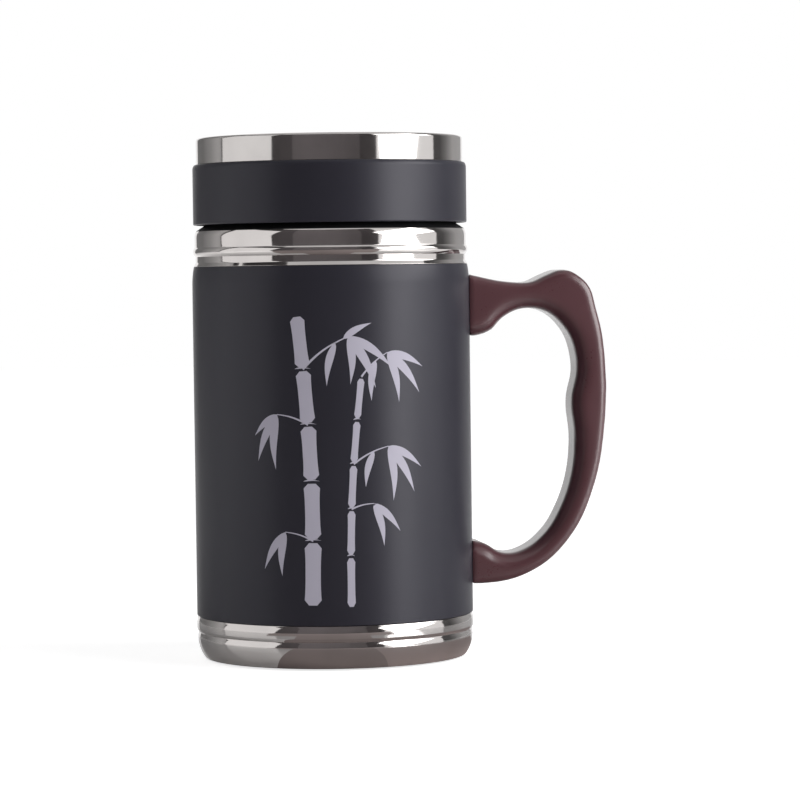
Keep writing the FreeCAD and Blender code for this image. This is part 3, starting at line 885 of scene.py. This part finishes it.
flange_radius, neck_bottom, neck_top = spans("neck_collar")
NECK_INNER = 33.6
NECK_ROOT = 34.9
NECK_CREST = 35.7
NECK_FLANGE_HEIGHT = 1.9
NECK_THREAD_START = 4.2
neck = turned(
    [
        (NECK_INNER, neck_bottom, 0),
        (flange_radius, neck_bottom, 0.2),
        (NECK_ROOT, neck_bottom + NECK_FLANGE_HEIGHT, 0.4),
        (NECK_ROOT, neck_top, 0.4),
        (NECK_INNER, neck_top, 0),
    ]
)
thread(neck, NECK_ROOT - RIDGE_SUNK, NECK_CREST, neck_bottom + NECK_THREAD_START)
bmesh.ops.recalc_face_normals(neck, faces=neck.faces)
piece("threaded_neck", neck, "cup", black_plastic, ["neck_collar"])

# %% [markdown]
# The lid is three pieces, as it is on the bench: a painted skirt, a steel cap pressed over
# the top, and the moulded inner cup with the thread. The skirt leans in above its shoulder,
# towards the cap, which is a millimetre smaller all round.

# %% Lid skirt
band_radius, band_bottom, band_top = spans("lid_band")
BAND_WALL = 0.8
BAND_SHOULDER = 138.2
BAND_INSET = 0.5
band_inner = band_radius - BAND_WALL
band = turned(
    [
        (band_inner, band_bottom, 0.1),
        (band_radius, band_bottom, 0.4),
        (band_radius, BAND_SHOULDER, 0.6),
        (band_radius - BAND_INSET, band_top, 0.3),
        (band_inner, band_top, 0),
    ]
)
piece("lid_skirt", band, "lid", black_paint, ["lid_band"])

# %% [markdown]
# The cap is drawn deep from one round of sheet. Its upper edge has the lid's widest rounding,
# because a deep pressing can't have a tight one.

# %% Lid cap
cap_radius, cap_bottom, cap_top = spans("lid_cap")
CAP_WALL = 0.6
CAP_PLATE = 0.8
cap_inner = cap_radius - CAP_WALL
cap = turned(
    [
        (cap_inner, cap_bottom, 0),
        (cap_radius, cap_bottom, 0.15),
        (cap_radius, cap_top, 0.8),
        (0, cap_top, 0),
        (0, cap_top - CAP_PLATE, 0),
        (cap_inner, cap_top - CAP_PLATE, 0),
    ]
)
piece("steel_cap", cap, "lid", brushed_steel, ["lid_cap"])

# %% [markdown]
# The inner cup fills the space between the skirt, the cap and the neck, and it carries the
# lid's half of the thread.

# %% Lid thread
BORE_ROOT = 36.5
BORE_CREST = 35.4
BORE_LEAD_IN = 1.9
LID_ROOF = 141.4
_, bore_bottom, _ = spans("lid_inner")
bore = turned(
    [
        (BORE_ROOT, bore_bottom, 0.3),
        (band_inner, bore_bottom, 0.2),
        (band_inner, band_top, 0),
        (cap_inner, band_top, 0),
        (cap_inner, cap_top - CAP_PLATE, 0),
        (0, cap_top - CAP_PLATE, 0),
        (0, LID_ROOF, 0),
        (BORE_ROOT, LID_ROOF, 0.6),
    ]
)
thread(bore, BORE_ROOT + RIDGE_SUNK, BORE_CREST, bore_bottom + BORE_LEAD_IN + THREAD_PITCH / 2)
bmesh.ops.recalc_face_normals(bore, faces=bore.faces)
piece("lid_thread_cup", bore, "lid", black_plastic, ["lid_inner"])

# %% [markdown]
# A seal is a soft ring that gets squeezed, so its edges are fully rounded.

# %% Seal
seal_radius, seal_bottom, seal_top = spans("lid_seal")
SEAL_INNER = 28.8
seal = turned(
    [
        (SEAL_INNER, seal_bottom, 0.5),
        (seal_radius, seal_bottom, 0.5),
        (seal_radius, seal_top, 0.5),
        (SEAL_INNER, seal_top, 0.5),
    ]
)
piece("silicone_seal", seal, "lid_seal", clear_silicone, ["lid_seal"])

# %% [markdown]
# The clay cup stands on a soft disc. Its lip is worn round by the potter's sponge, and its
# inner corner is a wide curve that a spoon and a brush can reach.

# %% Clay cup
liner_radius, liner_bottom, liner_top = spans("clay_liner")
LINER_NECK = 33.6
LINER_INNER = 30.6
LINER_SHOULDER = 114.5
LINER_FLOOR = liner_bottom + 4.5
liner = turned(
    [
        (0, liner_bottom, 0),
        (liner_radius, liner_bottom, 4.0),
        (liner_radius, LINER_SHOULDER, 0.3),
        (LINER_NECK, LINER_SHOULDER, 0),
        (LINER_NECK, liner_top, 0.5),
        (LINER_INNER, liner_top, 1.0),
        (LINER_INNER, LINER_FLOOR, 5.0),
        (0, LINER_FLOOR, 0),
    ]
)
piece("clay_cup", liner, "cup", purple_clay, ["clay_liner"])

# %% [markdown]
# The handle's solid has the right outline but bevelled edges, and a moulded grip has none:
# it flows from face to face. So a copy of the solid is rebuilt from even small cells, which
# many gentle smoothing passes can then round, the way a modeller sands a blank. The cells
# that sit against the tube are left out of the sanding, so the lugs still seat, and the
# thin walls round the two screw wells are only touched, or they would wear through. At the
# end the rest of the skin is pushed out by about what the passes took off.

# %% Handle
HANDLE_CELL = 0.55
SANDING_PASSES = 15
SANDING_STRENGTH = 0.5
SANDING_LOSS = 0.14
SEAT_BAND = 0.6
WELL_PASSES = 3
WELL_BAND = 4.4


def solid_copy(node):
    """A merged copy of a solid's mesh, in millimetres."""
    bm = bmesh.new()
    bm.from_mesh(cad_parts[node].data)
    bmesh.ops.scale(bm, vec=(1 / MM,) * 3, verts=bm.verts)
    bmesh.ops.remove_doubles(bm, verts=bm.verts, dist=ON_CORNER)
    return bm


def rebuilt(bm, cell):
    """Rebuilds a mesh from even cells, by the voxel remesher."""
    mesh = bpy.data.meshes.new("blank")
    bm.to_mesh(mesh)
    bm.free()
    blank = link(bpy.data.objects.new("blank", mesh))
    remesh = blank.modifiers.new("cells", "REMESH")
    remesh.mode = "VOXEL"
    remesh.voxel_size = cell
    remesh.adaptivity = 0.0
    result = blank.evaluated_get(bpy.context.evaluated_depsgraph_get())
    even = bpy.data.meshes.new_from_object(result)
    bpy.data.objects.remove(blank)
    bm = bmesh.new()
    bm.from_mesh(even)
    return bm


grip = rebuilt(solid_copy("handle"), HANDLE_CELL)
free = [v for v in grip.verts if v.co.xy.length > shell_radius + SEAT_BAND]
screw_line = Vector([(low + high) / 2 / MM for low, high in zip(*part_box("handle_screws"))][:2])
off_wells = [v for v in free if (v.co.xy - screw_line).length > WELL_BAND]
for sanding in range(SANDING_PASSES):
    bmesh.ops.smooth_vert(
        grip,
        verts=free if sanding < WELL_PASSES else off_wells,
        factor=SANDING_STRENGTH,
        use_axis_x=True,
        use_axis_y=True,
        use_axis_z=True,
    )
grip.normal_update()
for vert in off_wells:
    vert.co += vert.normal * SANDING_LOSS
piece("grip", grip, "cup", maroon_plastic, ["handle"])

# %% [markdown]
# The strainer's basket already has the right shape, slots and all. A merged copy, with its
# flat triangles joined and shading that breaks only at real edges, is all that it needs. Its
# rim is turned anew, because a rolled rim has no sharp edge.

# %% Strainer
FLAT_WITHIN = math.radians(4)
SQUARE_WITHIN = math.radians(40)
basket = solid_copy("infuser_basket")
bmesh.ops.join_triangles(
    basket, faces=basket.faces, angle_face_threshold=FLAT_WITHIN, angle_shape_threshold=SQUARE_WITHIN
)
piece("strainer_basket", basket, "infuser", sheet_steel, ["infuser_basket"])

rim_radius, rim_bottom, rim_top = spans("infuser_rim")
RIM_INNER = 27.8
rim = turned(
    [
        (RIM_INNER, rim_bottom, 0),
        (rim_radius, rim_bottom, 0.35),
        (rim_radius, rim_top, 0.35),
        (RIM_INNER, rim_top, 0.35),
    ]
)
piece("strainer_rim", rim, "infuser", polished_steel, ["infuser_rim"])

# %% [markdown]
# What is left is hidden or nearly so: the bottom, the soft parts round the liner, and what
# holds the handle. These keep their solids and just get a finish.

# %% Hidden parts
PLAIN_SOLIDS = {
    "base_plate": sheet_steel,
    "foot_pad": foot_silicone,
    "liner_cushion": foot_silicone,
    "liner_gasket": clear_silicone,
    "upper_handle_tab": sheet_steel,
    "lower_handle_tab": sheet_steel,
    "handle_screws": polished_steel,
}
for node, finish in PLAIN_SOLIDS.items():
    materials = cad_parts[node].data.materials
    materials.clear()
    materials.append(finish)
print("finished in place:", sorted(PLAIN_SOLIDS))
